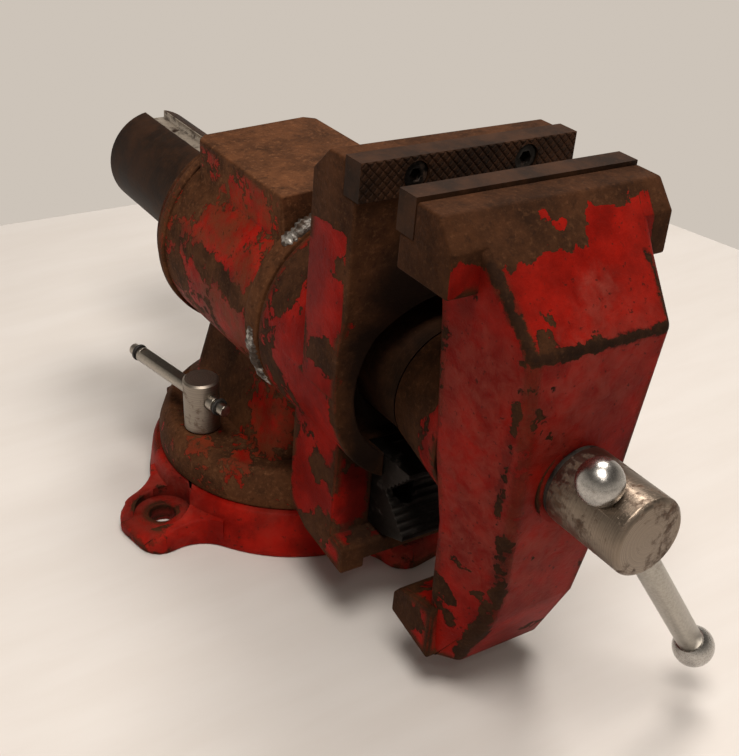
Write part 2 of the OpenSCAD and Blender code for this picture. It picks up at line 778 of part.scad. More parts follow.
// Fixed pipe jaw: a hardened block with a toothed V across its face
module fixed_pipe_jaw() {
  tip = -pipe_tip_out;
  bite = pipe_tip_h - tip_flat;
  root = [tip + pipe_vee, 0];
  color("dimgray") at_head() difference() {
    translate([0, 0, -pipe_down]) side_slab(concat(
      [[pipe_seat, pipe_rise], [tip, pipe_tip_h]],
      teeth([tip, bite], root, fixed_teeth),
      teeth(root, [tip, -bite], fixed_teeth),
      [[tip, -bite], [tip, -pipe_tip_h], [fixed_lip_back, -pipe_drop], [pipe_seat, -pipe_drop]]
    ), pipe_w);
    along_y(boss_r + 2 * run_gap, fixed_face - jaw_gap, fixed_face + leg_front);
    pair(pipe_screw_pitch, -pipe_down)
      cap_screw_hole(fixed_face + pipe_seat - pipe_bed, pipe_bed + over, 1, 3 * pipe_vee);
  }
}

module fixed_pipe_screws() {
  color("black") at_head() pair(pipe_screw_pitch, -pipe_down)
    cap_screw(fixed_face + pipe_seat - pipe_bed, pipe_bed + screw_in - 2 * over, 1);
}

// Ring bolted to the hub's end, which keeps the head in the collar
module retaining_ring() {
  color("saddlebrown") at_head() difference() {
    along_y(ring_r, hub_end, hub_end + ring_t);
    along_y(slide_r + ring_slack, hub_end - over, hub_end + ring_t + over);
    ring_of_four(ring_screw_r) cap_screw_hole(hub_end + ring_t, ring_t + over, -1, over);
  }
}

module ring_screws() {
  color("black") at_head() ring_of_four(ring_screw_r)
    cap_screw(hub_end + ring_t, ring_t + screw_in - 2 * over, -1);
}

// Key in the top of the hub's bore, running in the slide bar's keyway
module guide_key() {
  wide = keyway_w - 2 * key_gap;
  color("dimgray") at_head() difference() {
    translate([-wide / 2, collar_front, key_low])
      cube([wide, key_l, slide_r + key_seat - key_low]);
    for (y = key_screw_places()) translate([0, y, key_low + key_screw_sink])
      cylinder(d = key_screw_d + 2 * hole_fit, h = hub_r, $fn = round_fn);
  }
}

module key_screws() {
  low = key_low + key_screw_sink + over;
  color("black") at_head() for (y = key_screw_places()) translate([0, y, low])
    cylinder(d = key_screw_d, h = hub_r - over - low, $fn = round_fn);
}

// Bronze nut inside the slide bar, held by its stem in the wall of the hub's bore
module spindle_nut() {
  foot = -slide_r - nut_seat;
  color("darkgoldenrod") at_head() difference() {
    union() {
      along_y(nut_r, nut_front, nut_front + nut_l);
      translate([-nut_stem_w / 2, nut_front, foot]) cube([nut_stem_w, nut_l, -foot - nut_r / 2]);
    }
    along_y(screw_d / 2 + run_fit, nut_front - over, nut_front + nut_l + over);
    translate([0, nut_mid, foot - over])
      cylinder(d = nut_bolt_d + 2 * hole_fit, h = -foot - nut_bolt_end + 2 * over, $fn = round_fn);
  }
}

module spindle_nut_bolt() {
  low = -hub_r + nut_bolt_skin;
  color("black") at_head() translate([0, nut_mid, low]) {
    cylinder(d = nut_bolt_d, h = -low - nut_bolt_end, $fn = round_fn);
    cylinder(d = nut_bolt_head_d, h = nut_bolt_sink - nut_bolt_skin, $fn = round_fn);
  }
}

// Front jaw: a casting that narrows from the jaw block to the ridge and down to the toe.
// Each level is [height, width in front, depth of the front, width at the back, depth of the back]
module levels_hull(levels) {
  hull() for (s = levels) translate([0, front_face, s[0]]) linear_extrude(eps)
    offset(edge_round, $fn = hull_fn) offset(delta = -edge_round) polygon([
      [-s[1] / 2, -s[2]], [s[1] / 2, -s[2]], [s[3] / 2, -s[4]], [-s[3] / 2, -s[4]]
    ]);
}

module front_jaw() {
  crown = [block_top - eps, panel_w, front_top_depth, panel_w, panel_back];
  waist = [waist_up, waist_w, waist_depth, panel_w, panel_back];
  ridge = [ridge_up, ridge_w, ridge_depth, shoulder_w, panel_back];
  nose = [0, nose_w, nose_depth, shoulder_w, front_leg_back];
  jowl = [-chin_down / 2, jowl_w, jowl_depth, heel_w, front_leg_back];
  chin = [-chin_down, chin_w, chin_depth, heel_w, front_leg_back];
  toe = [-toe_down, chin_w, toe_depth, heel_w, front_leg_back];
  color("firebrick") at_head() difference() {
    union() {
      front_slab([
        [plate_t, block_top], [front_top_depth, block_top],
        [front_block_depth, block_top - (front_block_depth - front_top_depth) * top_slope],
        [front_block_depth, block_low], [ledge_back, block_low], [ledge_back, plate_low],
        [plate_t, plate_low]
      ], jaw_w);
      levels_hull([crown, waist]);
      levels_hull([waist, ridge]);
      levels_hull([ridge, nose, jowl]);
      levels_hull([jowl, chin, toe]);
      translate([0, front_face - front_leg_back, 0]) rotate([-90, 0, 0])
        cylinder(r1 = boss_r, r2 = boss_end_r, h = front_leg_back + boss_reach, $fn = round_fn);
      front_slab([
        [lip_root, -front_lip_down + lip_round], [plate_t + over, -front_lip_down + lip_round / 2],
        [2 * over, -front_lip_down], [-front_lip_reach, -front_lip_down - lip_round],
        [-front_lip_reach, -toe_down + lip_root - front_leg_back], [lip_root, -toe_down + eps]
      ], front_lip_w);
      along_y(spot_r, washer_front, front_face - nose_depth + edge_round);
    }
    along_y(slide_r + hole_fit, socket_y, front_face + boss_reach + over);
    along_y(journal_d / 2 + run_fit, washer_front - over, socket_y + over);
    pair(plate_screw_pitch, plate_mid)
      cap_screw_hole(front_face - over, plate_t + screw_in, -1, over);
    front_pipe_pocket();
    pair(pipe_screw_pitch, -pipe_down)
      cap_screw_hole(front_face - front_pipe_back + pipe_bed, pipe_bed + screw_in, -1, over);
    bar_pin_hole();
  }
}

module front_pipe_pocket() {
  high = front_pipe_h + 2 * seat_gap;
  translate([-pipe_w / 2 - seat_gap, front_face - front_pipe_back, -pipe_down - high / 2])
    cube([pipe_w + 2 * seat_gap, front_pipe_back, high]);
}

module bar_pin_hole() {
  translate([0, bar_pin_y, -boss_r - over])
    cylinder(d = bar_pin_d + 2 * hole_fit, h = boss_r + over, $fn = round_fn);
}

// Round slide bar: a heavy tube with a keyway on top and a slot below for the nut's stem
module slide_bar() {
  slot_start = nut_front - jaw_gap - stem_run;
  key_start = collar_front - jaw_gap - key_run;
  color("saddlebrown") at_head() difference() {
    along_y(slide_r, socket_y, slide_end);
    along_y(slide_bore_r, socket_y - over, slide_end + over);
    translate([-keyway_w / 2, key_start, slide_r - keyway_d])
      cube([keyway_w, slide_end - key_start + over, keyway_d + over]);
    translate([-bar_slot_w / 2, slot_start, -slide_r - over])
      cube([bar_slot_w, slide_end - slot_start + over, slide_r]);
    bar_pin_hole();
  }
}

module slide_bar_pin() {
  color("dimgray") at_head() translate([0, bar_pin_y, over - boss_r])
    cylinder(d = bar_pin_d, h = boss_r - slide_bore_r - 2 * over, $fn = round_fn);
}

module front_jaw_plate() { jaw_plate(front_face, -1); }

module front_plate_screws() {
  color("black") at_head() pair(plate_screw_pitch, plate_mid)
    cap_screw(front_face - over, plate_t + screw_in - 2 * over, -1);
}

// Front pipe jaw: a shallow toothed V insert in the front leg
module front_pipe_jaw() {
  half = front_pipe_h / 2;
  bite = half - front_tip_flat;
  root = [front_pipe_face + front_vee, 0];
  color("dimgray") at_head() difference() {
    translate([0, 0, -pipe_down]) front_slab(concat(
      [[front_pipe_back, half], [front_pipe_face, half]],
      teeth([front_pipe_face, bite], root, front_teeth),
      teeth(root, [front_pipe_face, -bite], front_teeth),
      [[front_pipe_face, -bite], [front_pipe_face, -half], [front_pipe_back, -half]]
    ), pipe_w);
    pair(pipe_screw_pitch, -pipe_down)
      cap_screw_hole(front_face - front_pipe_back + pipe_bed, pipe_bed + over, -1, front_pipe_t);
  }
}

module front_pipe_screws() {
  color("black") at_head() pair(pipe_screw_pitch, -pipe_down)
    cap_screw(front_face - front_pipe_back + pipe_bed, pipe_bed + screw_in - 2 * over, -1);
}

// Spindle: head, journal and screw in one piece, with the handle's hole through the head
module at_handle() {
  at_head() translate([0, handle_y, 0]) rotate([0, -handle_tilt - head_lean, 0]) children();
}

module keeper_pin_hole() {
  translate([0, keeper_mid, 0])
    cylinder(d = keeper_pin_d + 2 * hole_fit, h = 2 * keeper_d, center = true, $fn = round_fn);
}

module spindle() {
  head_r = spindle_head_d / 2;
  color("silver") difference() {
    at_head() difference() {
      translate([0, head_end, 0]) rotate([-90, 0, 0]) rotate_extrude($fn = round_fn) polygon([
        [0, 0], [head_r - spindle_cut, 0], [head_r, spindle_cut], [head_r, spindle_head_l],
        [journal_d / 2, spindle_head_l], [journal_d / 2, socket_y - head_end],
        [screw_d / 2, socket_y - head_end], [screw_d / 2, screw_end - head_end],
        [0, screw_end - head_end]
      ]);
      keeper_pin_hole();
    }
    at_handle() {
      cylinder(d = handle_d + 2 * run_fit, h = 2 * spindle_head_d, center = true, $fn = round_fn);
      for (side = [-1, 1]) translate([0, 0, side * ball_up])
        sphere(d = ball_d + 2 * face_gap, $fn = round_fn);
    }
  }
}

module thrust_washer() {
  back = washer_front - face_gap / 2;
  color("dimgray") at_head() difference() {
    along_y(washer_d / 2, back - washer_t, back);
    along_y(journal_d / 2 + hole_fit, back - washer_t - over, back + over);
  }
}

module keeper_collar() {
  color("dimgray") at_head() difference() {
    along_y(keeper_d / 2, keeper_front, keeper_front + keeper_l);
    along_y(screw_d / 2 + hole_fit, keeper_front - over, keeper_front + keeper_l + over);
    keeper_pin_hole();
  }
}

module keeper_pin() {
  color("dimgray") at_head() translate([0, keeper_mid, 0])
    cylinder(d = keeper_pin_d, h = keeper_d - 2 * over, center = true, $fn = round_fn);
}

// Handle: a round bar with a ball on each end
module handle_bar() {
  low = -ball_down + ball_flat;
  high = ball_up - ball_flat;
  color("silver") at_handle() {
    translate([0, 0, low]) cylinder(d = handle_d, h = high - low, $fn = round_fn);
    translate([0, 0, -ball_down]) cylinder(d = tenon_d, h = ball_up + ball_down, $fn = round_fn);
  }
}

module handle_balls() {
  color("silver") at_handle() for (end = [[ball_up, 180], [-ball_down, 0]])
    translate([0, 0, end[0]]) rotate([end[1], 0, 0]) difference() {
      sphere(d = ball_d, $fn = round_fn);
      translate([0, 0, ball_flat]) cylinder(d = ball_d, h = ball_d, $fn = round_fn);
      cylinder(d = tenon_d + 2 * hole_fit, h = ball_d, $fn = round_fn);
    }
}

base_plate();
pivot_pin();
swivel_body();
clamp_bolts();
lock_nut_left();
lock_nut_right();
lock_bar_left();
lock_bar_right();
lock_bar_rings_left();
lock_bar_rings_right();
fixed_jaw();
fixed_jaw_plate();
fixed_plate_screws();
fixed_pipe_jaw();
fixed_pipe_screws();
retaining_ring();
ring_screws();
guide_key();
key_screws();
spindle_nut();
spindle_nut_bolt();
front_jaw();
slide_bar();
slide_bar_pin();
front_jaw_plate();
front_plate_screws();
front_pipe_jaw();
front_pipe_screws();
spindle();
thrust_washer();
keeper_collar();
keeper_pin();
handle_bar();
handle_balls();
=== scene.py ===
"""Swivel base bench vise: the looks of the part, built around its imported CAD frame."""

import json
import math

import bmesh
import bpy
import numpy as np
from mathutils import Matrix, Vector


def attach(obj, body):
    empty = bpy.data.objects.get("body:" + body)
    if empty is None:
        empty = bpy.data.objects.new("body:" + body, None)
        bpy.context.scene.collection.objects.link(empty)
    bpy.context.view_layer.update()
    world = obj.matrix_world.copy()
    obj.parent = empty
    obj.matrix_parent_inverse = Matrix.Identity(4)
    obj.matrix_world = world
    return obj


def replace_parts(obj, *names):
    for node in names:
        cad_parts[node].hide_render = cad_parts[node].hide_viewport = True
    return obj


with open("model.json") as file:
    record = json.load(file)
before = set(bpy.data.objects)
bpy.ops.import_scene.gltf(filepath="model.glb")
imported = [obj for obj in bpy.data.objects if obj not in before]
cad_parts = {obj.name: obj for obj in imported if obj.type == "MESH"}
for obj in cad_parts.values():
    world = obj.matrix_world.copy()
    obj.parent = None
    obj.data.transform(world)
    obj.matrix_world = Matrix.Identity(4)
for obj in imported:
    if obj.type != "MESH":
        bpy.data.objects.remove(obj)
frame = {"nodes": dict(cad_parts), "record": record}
nodes = frame["nodes"]
home = {node: body for body, members in frame["record"]["behaviour"]["bodies"].items() for node in members}
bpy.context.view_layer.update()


# Base: a round cast iron plate with four lugs, bolted to the bench and painted red.
# The paint is worn through at the edges, and grimy and scuffed on the lugs. Marks of wear and of painted
# shade, here and below, are points in millimetres with a reach, or lines with a reach and a push.
class Val:
    """A value in a node tree. Arithmetic on it adds Math nodes."""

    def __init__(self, look, socket):
        self.look, self.socket = look, socket

    def math(self, operation, *values):
        return self.look.node("ShaderNodeMath", {"operation": operation}, dict(enumerate(values)))

    def __add__(self, other):
        return self.math("ADD", self, other)

    def __sub__(self, other):
        return self.math("SUBTRACT", self, other)

    def __rsub__(self, other):
        return self.math("SUBTRACT", other, self)

    def __mul__(self, other):
        return self.math("MULTIPLY", self, other)

    def __abs__(self):
        return self.math("ABSOLUTE", self)

    __radd__ = __add__
    __rmul__ = __mul__

    def ramp(self, low, high):
        """0 at low, 1 at high, with a smooth S between them. Low may lie above high."""
        flip = low > high
        values = {0: self, 1: min(low, high), 2: max(low, high), 3: float(flip), 4: 1.0 - float(flip)}
        return self.look.node("ShaderNodeMapRange", {"interpolation_type": "SMOOTHSTEP"}, values)


class Look:
    """A material with one Principled shader, and the nodes that feed it."""

    def __init__(self, name, **constants):
        self.material = bpy.data.materials.new(name)
        self.material.use_nodes = True
        self.tree = self.material.node_tree
        self.shader = self.tree.nodes["Principled BSDF"]
        self.place = self.node("ShaderNodeTexCoord", {}, {}, "Object")
        self.feed(**constants)

    def node(self, kind, settings, values, out=0):
        """Adds a node: settings first, then each input's value or link. Returns the output that out names."""
        added = self.tree.nodes.new(kind)
        for key, value in settings.items():
            setattr(added, key, value)
        for key, value in values.items():
            self.put(added.inputs[key], value)
        return Val(self, added.outputs[out])

    def put(self, socket, value):
        """Links a value to a socket, or sets a number, a vector or a colour on it."""
        if isinstance(value, Val):
            self.tree.links.new(value.socket, socket)
        elif isinstance(value, tuple) and len(value) == 3 and socket.type == "RGBA":
            socket.default_value = (*value, 1.0)
        else:
            socket.default_value = value

    def feed(self, **values):
        """Sets inputs of the shader; an underscore stands for a space."""
        for key, value in values.items():
            self.put(self.shader.inputs[key.replace("_", " ")], value)

    def mix(self, factor, a, b):
        """Colour a where factor is 0 and b where it is 1."""
        return self.node("ShaderNodeMix", {"data_type": "RGBA"}, {0: factor, 6: a, 7: b}, 2)

    def vector(self, operation, *values, out=0):
        return self.node("ShaderNodeVectorMath", {"operation": operation}, dict(enumerate(values)), out)

    def noise(self, scale, detail=4.0, rough=0.55, stretch=None, warp=0.0):
        """Noise from 0 to 1 about a half. Stretch squeezes it along each axis by a factor."""
        place = self.vector("MULTIPLY", self.place, stretch) if stretch else self.place
        values = {"Vector": place, "Scale": scale, "Detail": detail, "Roughness": rough, "Distortion": warp}
        return self.node("ShaderNodeTexNoise", {}, values)

    def along(self, direction, start=(0.0, 0.0, 0.0)):
        """Distance from start along a direction."""
        return self.vector("DOT_PRODUCT", self.vector("SUBTRACT", self.place, start), direction, out="Value")

    def rings(self, scale, axis, centre):
        """Tool marks of a turned piece: a noise of the distance along the axis plus the distance from it."""
        arm = self.vector("CROSS_PRODUCT", self.vector("SUBTRACT", self.place, centre), axis)
        away = self.vector("LENGTH", arm, out="Value")
        values = {"W": self.along(axis) + away, "Scale": scale, "Detail": 3.0}
        return self.node("ShaderNodeTexNoise", {"noise_dimensions": "1D"}, values)

    def ragged(self, scale, reach):
        """The place, pushed about by a noise of three directions, by a fraction of reach."""
        values = {"Vector": self.place, "Scale": scale, "Detail": 6.0, "Roughness": 0.62}
        push = self.node("ShaderNodeTexNoise", {}, values, "Color")
        push = self.vector("SUBTRACT", push, (0.5, 0.5, 0.5))
        return self.vector("MULTIPLY_ADD", push, (reach, reach, reach), self.place)

    def spot(self, place, x, y, z, r):
        """1 where place is near a point given in millimetres, falling to 0 at distance r."""
        far = self.vector("DISTANCE", place, (x / 1000, y / 1000, z / 1000), out="Value")
        return far.ramp(r / 1000, r / 4000)

    def streak(self, place, start, end, r):
        """1 where place is near the line from start to end, in millimetres, falling to 0 at distance r."""
        foot = np.array(start) / 1000
        span = np.array(end) / 1000 - foot
        arm = self.vector("SUBTRACT", place, tuple(foot))
        share = self.vector("DOT_PRODUCT", arm, tuple(span / (span @ span)), out="Value")
        share = self.node("ShaderNodeClamp", {}, {0: share})
        near = self.vector("MULTIPLY_ADD", share, tuple(span), tuple(foot))
        far = self.vector("DISTANCE", place, near, out="Value")
        return far.ramp(r / 1000, r / 3000)

    def shade(self, reach, inside):
        """One less the share of rays, cast into the solid or out of it, that run further than reach."""
        settings = {"samples": 6, "inside": inside, "only_local": True}
        return 1.0 - self.node("ShaderNodeAmbientOcclusion", settings, {"Distance": reach}, "AO")

    def bump(self, height, depth):
        """Bends the shader's normal as if the surface rose by height times depth."""
        values = {"Strength": 1.0, "Distance": depth, "Height": height}
        self.feed(Normal=self.node("ShaderNodeBump", {}, values))


def worn_paint(
    name, level, bare=(), kept=(), rub=None, lines=(), pale=(),
    dust=0.2, speckle=0.8, thin=0.0, rust=1.0, tint=1.0,
):
    """Red paint worn through to brown iron. Wear is a broad and a fine noise about zero plus the nearness of
    an outer edge, with a hill at each bare spot and along each line, and a dip at each kept spot; paint is
    left where wear is under level. Rub adds wear of its own. Lines give their own push and are dark, with
    grease on worn edges and with painted shade where they lie in hollows and gaps. Pale spots are scuffed,
    with paler paint as a painted glint, and dust mixes in a red that is partly dust and partly painted sheen.
    Thin paint lets some of the brown through, and hollows and corners get painted shade. Rust lightens or
    darkens the iron, and tint the paint."""
    brown = lambda *shade: tuple(rust * c for c in shade)
    paint = lambda *shade: tuple(tint * c for c in shade)
    deep_red, fresh_red = paint(0.150, 0.0040, 0.0018), paint(0.300, 0.0085, 0.0040)
    # The dusty red is partly dust and partly painted sheen; the scuffed red is partly scuffing and partly
    # painted glint.
    dusty_sheen_red, scuffed_glint_red = paint(0.20, 0.052, 0.035), paint(0.27, 0.060, 0.042)
    thin_red, pocked_red, greasy_and_shaded_red = (0.125, 0.036, 0.014), (0.035, 0.008, 0.005), (0.020, 0.004, 0.003)
    dark_rust, plain_rust = brown(0.027, 0.0115, 0.0055), brown(0.080, 0.031, 0.0130)
    light_rust, black_pit = brown(0.135, 0.058, 0.026), (0.016, 0.008, 0.005)
    # The lines' dark colours are grease, and painted shade where lines lie in hollows; the corner colour is
    # painted shade.
    chip_shade, grease_and_shade_black = (0.012, 0.006, 0.004), (0.012, 0.007, 0.005)
    corner_shade = (0.006, 0.003, 0.002)
    spot_push, edge_push, paint_edge, chip_width = 0.45, 0.40, 0.012, 0.08

    look = Look(name, Specular_IOR_Level=0.04)
    fine = look.noise(130 + 60 * thin, 8, 0.62, warp=0.5)
    grain = look.noise(900, 4, 0.65)
    torn, nicked = look.ragged(70, 0.034), look.ragged(170, 0.009)
    wear = (look.noise(24, 4, 0.5, warp=0.4) - 0.5) * 1.1 + (fine - 0.5) * speckle
    wear = wear + look.shade(0.006, True).ramp(0.03, 0.22) * edge_push
    for at in bare:
        wear = wear + look.spot(torn, *at) * spot_push
    for at in kept:
        wear = wear - look.spot(torn, *at) * spot_push
    dark_lines = [look.streak(nicked, *ends) * push for *ends, push in lines]
    for dark_line in dark_lines:
        wear = wear + dark_line
    if rub:
        wear = wear + rub(look)
    painted = wear.ramp(level + paint_edge, level - paint_edge)
    chipped = wear.ramp(level + chip_width, level)

    red = look.mix(look.noise(40, 5, 0.6).ramp(0.35, 0.7), deep_red, fresh_red)
    # Pinkish red in patches: dust, and painted sheen.
    red = look.mix(look.noise(14, 6, 0.6).ramp(0.42, 0.72) * dust, red, dusty_sheen_red)
    # Pale spots: scuffs, with paler paint as painted glint.
    for at in pale:
        red = look.mix(look.spot(torn, *at) * fine.ramp(0.25, 0.80) * 0.55, red, scuffed_glint_red)
    if thin:
        red = look.mix(look.noise(60, 7, 0.7).ramp(0.36, 0.62) * thin, red, thin_red)
    red = look.mix(look.noise(380, 3, 0.6).ramp(0.62, 0.72) * 0.8, red, pocked_red)
    iron = look.mix(look.noise(45, 8, 0.72).ramp(0.3, 0.72), dark_rust, plain_rust)
    iron = look.mix(look.noise(420, 5, 0.7).ramp(0.5, 0.75) * 0.6, iron, light_rust)
    iron = look.mix(look.noise(260, 4, 0.65).ramp(0.56, 0.70) * 0.5, iron, black_pit)
    iron = look.mix(chipped * 0.6, iron, chip_shade)
    # Along each line iron and paint go dark: grease on worn edges, painted shade where a line lies in a
    # hollow or gap.
    for dark_line in dark_lines:
        iron = look.mix(dark_line * 0.8, iron, grease_and_shade_black)
        red = look.mix(dark_line * 1.1, red, greasy_and_shaded_red)
    colour = look.mix(painted, iron, red)
    # Painted shade: the colour darkens towards near black in hollows and corners, by how closed in the
    # surface is.
    colour = look.mix(look.shade(0.035, False).ramp(0.3, 0.95) * 0.85, colour, corner_shade)
    look.feed(Base_Color=colour, Metallic=(1.0 - painted) * 0.15)
    look.feed(Roughness=0.64 - painted * 0.24 + fine * 0.12)
    look.bump(painted * 0.4 + fine * 0.6 + grain * 0.25 + look.noise(75, 3, 0.5) * 0.6, 0.0008)
    return look.material


def seal_seams(mesh):
    """Splits each edge that a point of the mesh lies on, within 0.03 mm, and merges the two, so that the
    hair-thin steps between faces meant to be flush are gone."""
    on_edge, from_end, merge, sliver = 3e-5, 1e-4, 4e-5, 2e-5
    points = np.array([v.co for v in mesh.verts])
    for edge in mesh.edges[:]:
        start, span = np.array(edge.verts[0].co), np.array(edge.verts[1].co - edge.verts[0].co)
        share = (points - start) @ span / (span @ span)
        off = np.linalg.norm(points - start - share[:, None] * span, axis=1)
        hits = np.sort(share[(off < on_edge) & (share > 0) & (share < 1)])
        hits = hits[np.minimum(hits, 1 - hits) * np.linalg.norm(span) > from_end]
        far = edge.verts[1]
        for i, hit in enumerate(hits):
            before = hits[i - 1] if i else 0.0
            edge, middle = bmesh.utils.edge_split(edge, edge.other_vert(far), (hit - before) / (1 - before))
            edge = next(e for e in middle.link_edges if far in e.verts)
    bmesh.ops.remove_doubles(mesh, verts=mesh.verts, dist=merge)
    bmesh.ops.dissolve_degenerate(mesh, edges=mesh.edges, dist=sliver)


def rounded(node, width, cut=None):
    """A merged copy of a CAD node that takes its place. Its flat triangles are joined, and each outer edge
    between two faces wide enough for it is rounded. A copy with a cut ends at that y and is closed there."""
    flush, sharp = math.radians(0.3), math.radians(28)
    mesh = bmesh.new()
    mesh.from_mesh(nodes[node].data)
    bmesh.ops.remove_doubles(mesh, verts=mesh.verts, dist=1e-6)
    seal_seams(mesh)
    if cut is not None:
        parts = mesh.verts[:] + mesh.edges[:] + mesh.faces[:]
        bmesh.ops.bisect_plane(mesh, geom=parts, plane_co=(0, cut, 0), plane_no=(0, 1, 0), clear_outer=True)
        bmesh.ops.holes_fill(mesh, edges=[e for e in mesh.edges if len(e.link_faces) == 1], sides=0)
    bmesh.ops.dissolve_limit(mesh, angle_limit=flush, verts=mesh.verts, edges=mesh.edges)
    weight = mesh.edges.layers.float.new("bevel_weight_edge")
    for edge in mesh.edges:
        edge.smooth = len(edge.link_faces) == 2 and edge.calc_face_angle() < sharp
        if not edge.smooth and edge.is_convex:
            foot = edge.verts[0].co
            line = (edge.verts[1].co - foot).normalized()
            spans = [max((v.co - foot).cross(line).length for v in face.verts) for face in edge.link_faces]
            edge.smooth = min(spans) > 3 * width
            edge[weight] = float(edge.smooth)
    for face in mesh.faces:
        face.smooth = True
    data = bpy.data.meshes.new(node + "_finish")
    mesh.to_mesh(data)
    mesh.free()
    piece = bpy.data.objects.new(node + "_finish", data)
    bpy.context.scene.collection.objects.link(piece)
    bevel = piece.modifiers.new("edges", "BEVEL")
    bevel.limit_method, bevel.width, bevel.segments = "WEIGHT", width, 3
    bevel.use_clamp_overlap, bevel.harden_normals, bevel.loop_slide = False, True, False
    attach(piece, home[node])
    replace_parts(piece, node)
    return piece


def dress(piece, material):
    """Gives a piece its one material."""
    piece.data.materials.clear()
    piece.data.materials.append(material)


lug_red = (
    (-69, -64, 10, 60), (-92, -3, 16, 45), (-105, -10, 16, 40), (40, -80, 10, 60), (90, 0, 10, 60),
    (10, -104, 16, 40),
)
base_bare = ((0, -60, 29, 35), (-104, -13, 12, 22))
lug_grime = (((-112, -15, 15), (-84, -2, 18), 26, 0.36), ((15, -112, 15), (2, -84, 18), 26, 0.30))
lug_scuffs = ((-100, -8, 15, 45), (100, 8, 15, 45), (8, -100, 15, 45), (-8, 100, 15, 45))
base_paint = worn_paint(
    "base_paint", 0.16, base_bare, lug_red, lines=lug_grime, pale=lug_scuffs, dust=0.45, tint=1.2
)
dress(rounded("base_plate", 0.0014), base_paint)


# Pivot pin: a turned steel pin in the middle of the base, which the swivel body turns on.
# Only its end under the base can be seen, grey and a little rusty.
def steel(name, bright, stain, share, rough, rings=None, centre=(0.0, 0.0, 0.146), pits=0.0, relief=0.00012):
    """Bare steel. Stain covers the given share where two noises peak. Rings names the axis, through centre,
    that the piece was turned about, and gives it tool marks."""
    look = Look(name)
    patch = look.noise(60, 6, 0.65, warp=0.4) * 0.6 + look.noise(240, 5, 0.7) * 0.4
    patch = patch.ramp(0.66 - share, 0.78 - share)
    speck = look.noise(700, 4, 0.7)
    marks = look.rings(1900.0, rings, centre) if rings else speck
    metal = look.mix(marks.ramp(0.3, 0.75), tuple(c * 0.72 for c in bright), bright)
    metal = look.mix(speck.ramp(0.62, 0.74) * 0.3, metal, tuple(c * 0.3 for c in bright))
    colour = look.mix(patch, metal, look.mix(speck.ramp(0.35, 0.7), stain, tuple(c * 1.9 for c in stain)))
    # Painted shade: the colour darkens to a near-black brown where the surface is closed in, near contacts
    # and in recesses.
    colour = look.mix(look.shade(0.008, False).ramp(0.3, 0.9) * 0.6, colour, (0.02, 0.012, 0.008))
    look.feed(Base_Color=colour, Metallic=1.0 - patch * 0.75)
    look.feed(Roughness=rough + patch * 0.35 + (marks - 0.5) * 0.12)
    look.bump(marks * 0.4 - speck.ramp(0.60, 0.75) * pits + patch * 0.5, relief)
    return look.material


grey_steel = steel("grey_steel", (0.30, 0.28, 0.26), (0.07, 0.035, 0.018), 0.08, 0.42)
dress(rounded("pivot_pin", 0.0005), grey_steel)


# Swivel body: one red casting of turntable, column, collar and anvil.
# The turntable is rubbed brown, the anvil's face is bare, and paint hangs on the collar in patches.
def anvil_face(look):
    """Bare on the anvil's flat top and the collar's front rim, and rubbed on the turntable's upper side."""
    top = look.along((0, 0, 1)).ramp(0.2160, 0.2168)
    rim = look.along((0, 1, 0)).ramp(-0.0490, -0.0510) * look.along((0, 0, 1)).ramp(0.105, 0.115)
    table = look.along((0, 0, 1)).ramp(0.070, 0.056) * 0.16
    return top * 2.0 + rim * 0.5 + table


collar_red = (
    (-50, 16, 179, 22), (-51, -10, 177, 24), (-54, -34, 172, 18), (-60, -15, 143, 20), (-59, -38, 136, 18),
    (-61, 12, 148, 16), (-40, -25, 200, 18), (-40, 0, 197, 14), (-56, -18, 124, 22), (-43, -40, 72, 24),
    (-76, -18, 52, 15), (-66, -46, 52, 16), (47, 0, 183, 42), (60, -5, 150, 42), (0, 55, 90, 40),
)
collar_bare = (
    (-41, 40, 188, 26), (-46, -60, 188, 18), (-37, 37, 89, 30), (-43, 7, 72, 26), (-60, 40, 140, 18),
    (-40, 10, 211, 14),
)
collar_band = (((-58, 42, 164), (-60, -36, 157), 11, 0.28),)
swivel_paint = worn_paint(
    "swivel_paint", -0.02, collar_bare, collar_red, anvil_face, collar_band,
    dust=0.3, speckle=1.7, thin=0.75, rust=1.5, tint=1.25,
)
dress(rounded("swivel_body", 0.0014), swivel_paint)

# Weld beads: two bright runs of bare weld on the collar's front rim, left of the top and at the left side.
# Each run is rippled, and its toe sinks into the rim.
axis_z = 0.146
rim_r, rim_y = 0.0617, -0.0622


def grid_piece(name, points, body, material, around=False, close=None):
    """A mesh of quads over a rows by columns array of points. Around joins the last column to the first.
    Close puts a flat face on both end rows ("ends") or on the outer border ("border")."""
    rows, columns = points.shape[:2]
    index = np.arange(rows * columns).reshape(rows, columns)
    full = np.hstack([index, index[:, :1]]) if around else index
    corners = [full[:-1, :-1], full[:-1, 1:], full[1:, 1:], full[1:, :-1]]
    quads = np.stack(corners, axis=-1).reshape(-1, 4).tolist()
    if close == "ends":
        quads += [index[0].tolist(), index[-1].tolist()]
    if close == "border":
        border = [index[0, :-1], index[:-1, -1], index[-1, :0:-1], index[:0:-1, 0]]
        quads += [np.concatenate(border).tolist()]
    data = bpy.data.meshes.new(name)
    data.from_pydata(points.reshape(-1, 3).tolist(), [], quads)
    mesh = bmesh.new()
    mesh.from_mesh(data)
    bmesh.ops.remove_doubles(mesh, verts=mesh.verts, dist=1e-6)
    bmesh.ops.recalc_face_normals(mesh, faces=mesh.faces)
    mesh.to_mesh(data)
    mesh.free()
    data.shade_smooth()
    data.set_sharp_from_angle(angle=math.radians(32))
    piece = bpy.data.objects.new(name, data)
    bpy.context.scene.collection.objects.link(piece)
    dress(piece, material)
    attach(piece, body)
    return piece


